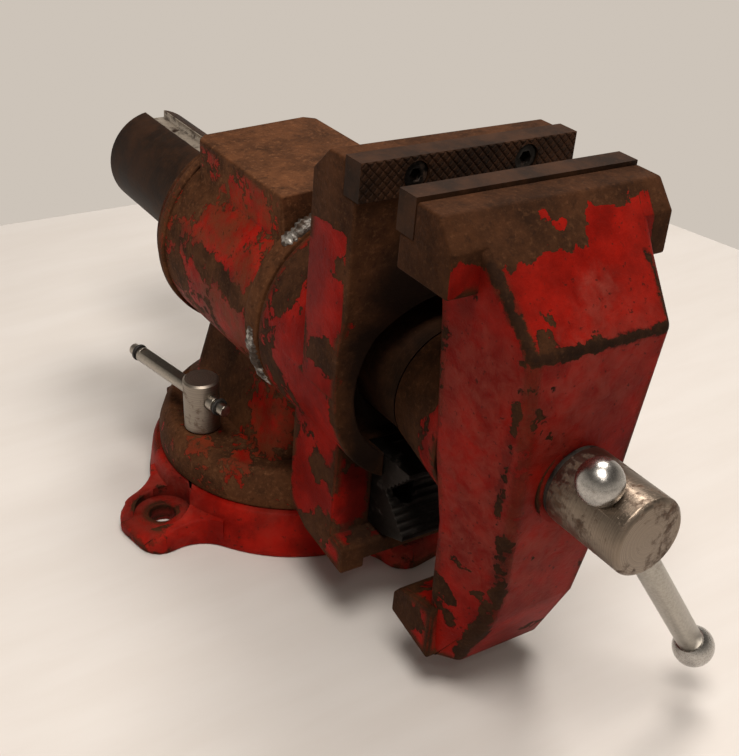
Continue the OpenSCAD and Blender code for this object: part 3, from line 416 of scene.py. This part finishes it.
def weld_bead(name, start, end, y, half_width, height):
    """A closed bead on an arc about the slide axis. Its section is an ellipse whose width and height swell
    with a ripple along the run and fade to nothing at both ends, dressed flat at the rim's face; angles are
    degrees left of the top."""
    run = np.linspace(0, 1, 90)[:, None]
    section = np.linspace(0, 2 * np.pi, 20, endpoint=False)[None, :]
    wave = 1 + 0.13 * np.sin(run * (end - start) * 2.1) + 0.16 * np.sin(run * (end - start) * 0.63 + 1)
    fade = np.sin(np.pi * run) ** 0.35 * wave
    turn = np.radians(start + (end - start) * run)
    r = rim_r + height * fade * np.sin(section)
    across = np.maximum(y + half_width * fade * np.cos(section) + 0.0009 * np.sin(run * 9), rim_y)
    points = np.stack([-r * np.sin(turn), across + 0 * r, axis_z + r * np.cos(turn)], axis=-1)
    return grid_piece(name, points, "swivel", weld_metal, True, "ends")


weld_metal = steel(
    "weld_metal", (0.55, 0.53, 0.49), (0.035, 0.022, 0.014), 0.26, 0.36, pits=0.8, relief=0.0004
)
weld_bead("weld_upper", 17, 42, -0.0568, 0.0060, 0.0028)
weld_bead("weld_side", 87, 127, -0.0570, 0.0050, 0.0024)

# Clamp bolts: two square-headed bolts that run in the base's ring slot and stand up through the turntable.
# They are plain steel, dark with grease.
dark_bolt = steel("greased_bolt", (0.20, 0.18, 0.16), (0.03, 0.016, 0.009), 0.16, 0.45)
dress(rounded("clamp_bolts", 0.0005), dark_bolt)

# Lock nuts: two turned nuts on the clamp bolts, each with a bar through it and a black ring near each end.
# The steel is bright and lightly brushed.
nut_at = (-0.066, 0.0, 0.0)
nut_steel = steel(
    "lock_steel", (0.34, 0.295, 0.245), (0.08, 0.045, 0.025), 0.13, 0.44, (0, 0, 1), nut_at
)
bar_steel = steel("lock_bar_steel", (0.44, 0.40, 0.345), (0.10, 0.055, 0.03), 0.06, 0.32)


def rubber(name):
    """Black rubber, greyed in patches by dust."""
    look = Look(name, IOR=1.5)
    grey = look.noise(500, 4, 0.6)
    look.feed(Base_Color=look.mix(grey.ramp(0.45, 0.75), (0.012, 0.011, 0.010), (0.05, 0.045, 0.04)))
    look.feed(Roughness=0.55 + grey * 0.25)
    look.bump(grey, 0.0001)
    return look.material


ring_rubber = rubber("ring_rubber")
for side in ("left", "right"):
    dress(rounded("lock_nut_" + side, 0.0006), nut_steel)
    dress(rounded("lock_bar_" + side, 0.0004), bar_steel)
    dress(rounded("lock_bar_rings_" + side, 0.0003), ring_rubber)

# Fixed jaw: the head's casting, with a hub that turns in the collar and a leg below the slide.
# The jaw block above it is bare machined iron; below, paint is left in patches, with grease and painted
# shade round the bore and in the gap under the plate.
head_turn = math.radians(3)
up = (math.sin(head_turn), 0.0, math.cos(head_turn))
slide_axis = (0.0, 0.0, axis_z)


def fixed_block(look):
    """Bare above the line where the machined block starts, with a ragged lower edge, and on the face under
    the plate."""
    ragged = look.along(up, slide_axis) + (look.noise(90, 4, 0.6) - 0.5) * 0.006
    # The face under the plate is bare: worn iron, whose dark colour also stands as painted shade in the jaws'
    # gap.
    face = look.along((0, 1, 0)).ramp(-0.1445, -0.1465)
    return ragged.ramp(0.0870, 0.0892) * 2.0 + face * 0.55


fixed_red = (
    (-59, -122, 128, 26), (-57, -108, 77, 28), (-50, -135, 104, 20), (-58, -129, 229, 14),
    (-61, -99, 155, 26), (-59, -125, 190, 24), (-60, -120, 210, 20), (59, -115, 140, 26), (57, -108, 90, 26),
    (-36, -136, 80, 32), (-38, -136, 70, 30), (-60, -143, 198, 16),
)
# Dark lines round the bore, in it below the bar, on the face under the plate, on the leg's inner face and on
# the flange by the collar: painted shade of the gap between the jaws and of hollows, with some grease.
fixed_shade_and_grease = (
    ((-43, -147, 176), (-40, -146, 112), 20, 1.15), ((-22, -150, 204), (45, -150, 200), 36, 1.15),
    ((-38, -137, 104), (-36, -137, 52), 22, 0.65), ((-34, -121, 130), (-12, -121, 104), 15, 1.15),
    ((-38, -82, 198), (-52, -74, 178), 20, 0.24),
)
fixed_bare = (
    (-56, -126, 94, 16), (-58, -121, 56, 20), (-61, -131, 168, 18), (-59, -137, 218, 9), (62, -128, 178, 18),
    (60, -138, 212, 12), (57, -122, 62, 18), (60, -104, 118, 9),
)
fixed_paint = worn_paint("fixed_paint", 0.07, fixed_bare, fixed_red, fixed_block, fixed_shade_and_grease, dust=0.0)
dress(rounded("fixed_jaw", 0.0013), fixed_paint)


# Jaw plates: two hardened steel plates with cross-cut grooves over the face, each held by two sunk screws.
# They are dark, with rust in the grooves.
def brown_iron(name, tone=1.0, rings=None, bright=None):
    """Bare iron under a brown skin: two browns by noise, light specks, and bright metal where bright says.
    Tone lightens or darkens the skin."""
    brown = lambda *shade: tuple(tone * c for c in shade)
    look = Look(name, Specular_IOR_Level=0.08)
    cloud = look.noise(48, 7, 0.66, warp=0.3)
    speck = look.noise(520, 5, 0.7)
    skin = look.mix(cloud.ramp(0.35, 0.7), brown(0.020, 0.0095, 0.0050), brown(0.060, 0.025, 0.0115))
    skin = look.mix(speck.ramp(0.55, 0.78) * 0.6, skin, brown(0.115, 0.052, 0.026))
    marks = speck
    if rings:
        marks = look.rings(1500.0, rings, (0.0, 0.0, axis_z))
        skin = look.mix(marks.ramp(0.55, 0.8) * 0.35, skin, brown(0.090, 0.050, 0.030))
    shine = bright(look) if bright else speck * 0.0
    flake = shine * look.noise(120, 6, 0.65).ramp(0.30, 0.62)
    look.feed(Base_Color=look.mix(flake, skin, (0.46, 0.40, 0.33)))
    look.feed(Metallic=0.15 + flake * 0.6, Roughness=0.50 + cloud * 0.18 - flake * 0.15)
    look.bump(cloud * 0.5 + speck * 0.3 + marks * 0.3, 0.0002)
    return look.material


plate_half, plate_low, plate_high, plate_thick = 0.0625, 0.106, 0.125, 0.013
screw_at, seat_r, seat_deep = 0.032, 0.0070, 0.0070
fixed_face_y, front_face_y = -0.152, -0.1808


def jaw_plate(node, face_y, inward, material):
    """A closed plate over across and height. The two outer rings of the grid are the back edge and the
    chamfer; inside them the face is a height field: V grooves along both diagonals, and a flat seat sunk
    round each screw, with the nearest points of the grid put on the seat's circle."""
    chamfer, step, pitch, groove = 0.0005, 0.0004, 0.0048, 0.0007
    rings = lambda low, high: np.concatenate(
        [[low, low], np.arange(low + chamfer, high - chamfer, step), [high - chamfer, high, high]]
    )
    across, height = np.meshgrid(rings(-plate_half, plate_half), rings(plate_low, plate_high))
    row, column = np.indices(across.shape)
    from_edge = np.minimum(
        np.minimum(row, across.shape[0] - 1 - row), np.minimum(column, across.shape[1] - 1 - column)
    )
    wave = lambda line: groove * np.clip(1 - np.abs(line / pitch % 1 - 0.5) * 6, 0, 1)
    deep = np.maximum(wave(across + height), wave(across - height))
    middle = (plate_low + plate_high) / 2
    for side in (-1, 1):
        da, dh = across - side * screw_at, height - middle
        far = np.maximum(np.hypot(da, dh), 1e-9)
        on_circle = np.abs(far - seat_r) < 0.6 * step
        across = np.where(on_circle, side * screw_at + da / far * seat_r, across)
        height = np.where(on_circle, middle + dh / far * seat_r, height)
        deep = np.where(on_circle, 0.0, np.where(far < seat_r, seat_deep, deep))
    deep = np.select([from_edge == 0, from_edge == 1], [plate_thick, chamfer], deep)
    x = across * math.cos(head_turn) + height * math.sin(head_turn)
    z = axis_z - across * math.sin(head_turn) + height * math.cos(head_turn)
    points = np.stack([x, face_y + inward * deep, z], axis=-1)
    piece = grid_piece(node + "_cut", points, home[node], material, close="border")
    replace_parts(piece, node)


plate_steel = brown_iron("plate_steel", 0.8)
screw_black = steel("black_screws", (0.030, 0.026, 0.023), (0.030, 0.015, 0.008), 0.14, 0.45)
jaw_plate("fixed_jaw_plate", fixed_face_y, 1, plate_steel)
dress(rounded("fixed_plate_screws", 0.0004), screw_black)

# Pipe jaw of the head: a black hardened V block with cut teeth, screwed into the leg's bed.
# The teeth catch a little light along their crests.
pipe_steel = steel("pipe_jaw_steel", (0.032, 0.028, 0.025), (0.014, 0.008, 0.006), 0.14, 0.50)
dress(rounded("fixed_pipe_jaw", 0.0003), pipe_steel)
dress(rounded("fixed_pipe_screws", 0.0004), screw_black)

# Retaining ring: a turned iron ring screwed to the hub behind the collar, which keeps the head in it.
# It is brown with age, with some red left on its rim.
ring_red = ((-58, 66, 150, 30), (-50, 66, 180, 24), (60, 66, 130, 36))
ring_paint = worn_paint("ring_paint", -0.22, kept=ring_red, thin=0.4)
dress(rounded("retaining_ring", 0.0006), ring_paint)
dress(rounded("ring_screws", 0.0003), screw_black)

# Guide key and spindle nut: the key screwed into the hub's bore keeps the slide bar from turning.
# The bronze nut is bolted in behind it and takes the screw.
dress(rounded("guide_key", 0.0005), grey_steel)
dress(rounded("key_screws", 0.0003), screw_black)
bronze = steel("nut_bronze", (0.52, 0.33, 0.13), (0.11, 0.055, 0.022), 0.10, 0.36, (0, 1, 0))
dress(rounded("spindle_nut", 0.0006), bronze)
dress(rounded("spindle_nut_bolt", 0.0004), screw_black)

# Front jaw: the moving casting, with a bare machined top, a sloping panel and a nose that holds the spindle.
# Its paint is thickest on the panel and the nose, and is chipped along every edge.
right_of = (math.cos(head_turn), 0.0, -math.sin(head_turn))


def front_block(look):
    """Bare above a border that steps up to the right of the middle, on the block's two ends and on the boss
    round the slide bar, further back below its middle; two flakes of paint are left above the border."""
    ragged = (look.noise(60, 6, 0.62, warp=0.6) - 0.5) * 0.028
    high, across = look.along(up, slide_axis), look.along(right_of, slide_axis)
    torn = look.ragged(120, 0.014)
    flakes = look.spot(torn, -4, -215, 264, 5) + look.spot(torn, 2, -218, 260, 6)
    top = (high + ragged - (across + ragged).ramp(0.008, 0.013) * 0.013).ramp(0.1035, 0.1055)
    behind = look.along((0, 1, 0))
    ends = (0.0 - across).ramp(0.0508, 0.0520) * high.ramp(0.084, 0.086) * behind.ramp(-0.2206, -0.2198)
    right_end = (across + ragged * 0.3).ramp(0.050, 0.0515) * high.ramp(0.088, 0.092)
    boss = (behind + ragged * 0.5 - high.ramp(0.028, 0.004) * 0.012).ramp(-0.199, -0.192)
    return top * 1.6 - flakes * 2.2 + ends * 2.0 + right_end * 0.5 + boss * 0.9


front_bare = (
    (-28, -249, 224, 10), (-23, -241, 233, 6), (17, -238, 236, 5), (16, -245, 227, 6), (1, -253, 220, 6),
    (64, -219, 256, 8), (-32, -236, 78, 9), (-40, -214, 71, 10), (-45, -196, 41, 16), (8, -226, 35, 8),
    (-20, -252, 181, 4), (-15, -245, 101, 4), (-38, -222, 92, 6), (44, -222, 205, 9), (40, -232, 132, 7),
    (34, -212, 62, 12), (36, -226, 96, 6), (46, -205, 170, 8), (-44, -202, 208, 10), (-45, -200, 190, 8),
)
front_red = (
    (10, -235, 245, 30), (25, -250, 215, 34), (0, -252, 170, 40), (0, -250, 120, 40), (-38, -225, 160, 34),
    (-38, -215, 110, 26), (42, -225, 155, 34), (36, -215, 95, 30), (-36, -228, 215, 26), (35, -222, 252, 26),
    (-50, -221, 249, 16), (-15, -235, 242, 18),
)
front_edges = (
    ((-36, -254, 220), (44, -254, 216), 4.0, 0.75), ((-39, -226, 252), (-35, -252, 221), 3.6, 0.7),
    ((-37, -247, 196), (-35, -240, 134), 3.6, 0.34), ((-32, -244, 118), (-30, -242, 84), 7.0, 0.34),
    ((-30, -242, 84), (-32, -222, 32), 6.5, 0.30), ((44, -232, 243), (44, -252, 217), 3.0, 0.45),
    ((40, -246, 190), (27, -241, 78), 3.6, 0.30),
)
# Pale scuffs on the panel, nose and left side, partly scuffing and partly painted glint.
front_scuffs_and_glints = (
    (8, -239, 235, 15), (-38, -225, 190, 60), (5, -254, 200, 50), (-36, -230, 120, 60), (0, -245, 95, 50),
)
front_paint = worn_paint(
    "front_paint", 0.14, front_bare, front_red, front_block, front_edges, front_scuffs_and_glints,
    dust=0.12, rust=0.75, tint=0.84,
)
dress(rounded("front_jaw", 0.0015), front_paint)


# Slide bar: the round iron bar pinned into the front jaw, slotted below for the nut and keyed above.
# Its skin is brown from handling, and the rear of the keyway is rubbed bright.
def keyway(look):
    """1 inside the keyway's width, above its floor and behind the head."""
    beside = abs(look.along(right_of, slide_axis)).ramp(0.0078, 0.0066)
    return beside * look.along(up, slide_axis).ramp(0.0270, 0.0278) * look.along((0, 1, 0)).ramp(-0.06, -0.03)


dress(rounded("slide_bar", 0.0007), brown_iron("slide_iron", 0.65, (0, 1, 0), keyway))
dress(rounded("slide_bar_pin", 0.0004), grey_steel)
jaw_plate("front_jaw_plate", front_face_y, -1, plate_steel)
dress(rounded("front_plate_screws", 0.0004), screw_black)
dress(rounded("front_pipe_jaw", 0.0003), pipe_steel)
dress(rounded("front_pipe_screws", 0.0004), screw_black)

# Spindle: a turned head with a cross hole, a journal in the front jaw, and a long screw cut behind it.
# The head is grey steel with rust stains; the screw is oily and darker.
journal_end, screw_end, screw_r, lead = -0.2105, 0.168, 0.0110, 0.005
head_steel = steel(
    "spindle_steel", (0.28, 0.225, 0.175), (0.060, 0.032, 0.017), 0.17, 0.36, (0, 1, 0), pits=0.8
)
dress(rounded("spindle", 0.0006, cut=journal_end), head_steel)


def screw_thread(name, material):
    """A right-handed thread along the slide axis. The radius at each place along and around it follows one
    flat-topped wave of along over lead, less the share of a turn, and both ends run out to the root."""
    depth, run_out = 0.0022, 0.004
    along = np.arange(journal_end, screw_end + 1e-9, lead / 8)[:, None]
    turn = np.linspace(0, 2 * np.pi, 40, endpoint=False)[None, :]
    phase = (along / lead - turn / (2 * np.pi)) % 1
    crest = np.clip((0.5 - np.abs(phase - 0.5)) * 5 - 0.6, 0, 1)
    ends = np.clip(np.minimum(along - journal_end, screw_end - along) / run_out, 0, 1)
    r = screw_r - depth + depth * crest * ends
    points = np.stack([r * np.sin(turn), along + 0 * r, axis_z + r * np.cos(turn)], axis=-1)
    return grid_piece(name, points, "spindle", material, True, "ends")


oily_steel = steel("oily_steel", (0.24, 0.22, 0.20), (0.030, 0.018, 0.010), 0.16, 0.30)
screw_thread("spindle_thread", oily_steel)
# The thrust washer is near black: painted shade for the dark gap round the spindle's root in the nose.
washer_painted_shade = steel("washer_painted_shade", (0.050, 0.043, 0.038), (0.018, 0.011, 0.007), 0.24, 0.60)
dress(rounded("thrust_washer", 0.0004), washer_painted_shade)
dress(rounded("keeper_collar", 0.0005), grey_steel)
dress(rounded("keeper_pin", 0.0003), grey_steel)

# Handle: a plain steel bar that slides through the spindle's head, with a polished ball pressed on each end.
# The bar is rubbed smooth, and the balls are bright with a few pits.
handle_tilt = math.radians(32.8)
handle_line = np.array([-math.sin(handle_tilt), 0.0, math.cos(handle_tilt)])
handle_at = np.array([0.0, -0.2804, axis_z])
bar_look = steel("handle_steel", (0.44, 0.41, 0.36), (0.10, 0.058, 0.034), 0.08, 0.32)
dress(rounded("handle_bar", 0.0005), bar_look)


def handle_ball(name, centre, inward, material):
    """A turned ball: rings of a sphere about the handle's line, from the pole at the handle's end to the flat
    that the bar goes into, each end closed by a face. Inward is 1 where the bar lies above it, else -1."""
    ball_r, flat = 0.0108, 0.0080
    fall = np.linspace(0.02, math.pi - math.acos(flat / ball_r), 48)[:, None]
    lift, r = -inward * ball_r * np.cos(fall), ball_r * np.sin(fall)
    turn = np.linspace(0, 2 * np.pi, 64, endpoint=False)[None, :]
    side = np.array([handle_line[2], 0.0, -handle_line[0]])
    front = np.array([0.0, 1.0, 0.0])
    spoke = side * np.cos(turn)[..., None] + front * np.sin(turn)[..., None]
    points = handle_at + handle_line * (centre + lift)[..., None] + spoke * r[..., None]
    return grid_piece(name, points, "handle", material, True, "ends")


ball_chrome = steel(
    "ball_chrome", (0.52, 0.50, 0.47), (0.12, 0.08, 0.05), 0.06, 0.27, pits=0.4, relief=0.00003
)
upper_ball, lower_ball = 0.0284, -0.134
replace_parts(handle_ball("handle_ball_upper", upper_ball, -1, ball_chrome), "handle_balls")
handle_ball("handle_ball_lower", lower_ball, 1, ball_chrome)


# Stage: a pale floor that ends at the foot of the back wall, with the room's plain colour behind it.
# Two broad lamps hang over the bench, left of it and behind it, and a small one near the camera gives glints.
def floor_board(name):
    """Pale board with faint streaks."""
    look = Look(name)
    streak = look.noise(7, 5, 0.55, (1.0, 5.0, 1.0))
    look.feed(Base_Color=look.mix(streak.ramp(0.3, 0.7), (0.70, 0.665, 0.63), (0.73, 0.70, 0.67)))
    look.feed(Roughness=0.62 + streak * 0.1)
    return look.material


floor_reach = -2.5
wall_corner = (0.458, 0.401, 0.0)
near_edge = [(floor_reach, floor_reach, 0.0), (1.019, floor_reach, 0.0)]
floor_corners = near_edge + [wall_corner, (floor_reach, 0.732, 0.0)]
floor = bpy.data.objects.new("floor", bpy.data.meshes.new("floor"))
floor.data.from_pydata(floor_corners, [], [(0, 1, 2, 3)])
floor.data.materials.append(floor_board("floor_board"))
bpy.context.scene.collection.objects.link(floor)

camera = bpy.data.objects.new("camera", bpy.data.cameras.new("camera"))
bpy.context.scene.collection.objects.link(camera)
view_right = Vector((0.83859679, -0.54367312, 0.03427771))
view_up = Vector((0.25905999, 0.45336172, 0.8528488))
view_back = Vector((-0.47921117, -0.70631628, 0.52103163))
eye = Vector((-0.33172, -0.57108, 0.47174))
turned = Matrix((view_right, view_up, view_back)).transposed().to_4x4()
camera.matrix_world = Matrix.Translation(eye) @ turned
frame_px, focal_px = 756, 1223.7
camera.data.sensor_width = 36.0
camera.data.lens = focal_px * camera.data.sensor_width / frame_px
bpy.context.scene.camera = camera


def lamp(name, place, aim, power, width):
    """A warm square lamp of the given power in watts, turned to face aim."""
    light = bpy.data.objects.new(name, bpy.data.lights.new(name, "AREA"))
    light.data.energy, light.data.size, light.data.color = power, width, (1.0, 0.93, 0.86)
    light.location = place
    light.rotation_euler = (Vector(aim) - light.location).to_track_quat("-Z", "Y").to_euler()
    bpy.context.scene.collection.objects.link(light)


lamp("lamp_over", (-0.25, -0.50, 1.4), (0, -0.1, 0.1), 14.5, 0.6)
lamp("lamp_back", (0.55, 0.25, 1.4), (0.05, -0.1, 0.1), 14, 0.6)
lamp("lamp_front", (-0.30, -0.80, 0.85), (0, -0.25, 0.15), 0.5, 0.12)


class Room(Look):
    """The world's background, and the nodes that feed it."""

    def __init__(self, name):
        world = bpy.data.worlds.new(name)
        bpy.context.scene.world = world
        world.use_nodes = True
        self.tree = world.node_tree
        self.shader = self.tree.nodes["Background"]


room = Room("room")
wall_pale, ceiling_dim, wall_rise = (0.61, 0.55, 0.485), (0.10, 0.09, 0.08), 0.55
rise = room.node("ShaderNodeSeparateXYZ", {}, {0: room.node("ShaderNodeTexCoord", {}, {}, "Generated")}, "Z")
rise = room.node("ShaderNodeMapRange", {}, {0: rise, 1: 0.0, 2: wall_rise})
room.feed(Color=room.mix(rise, wall_pale, ceiling_dim))
bpy.context.scene.view_settings.view_transform = "Standard"
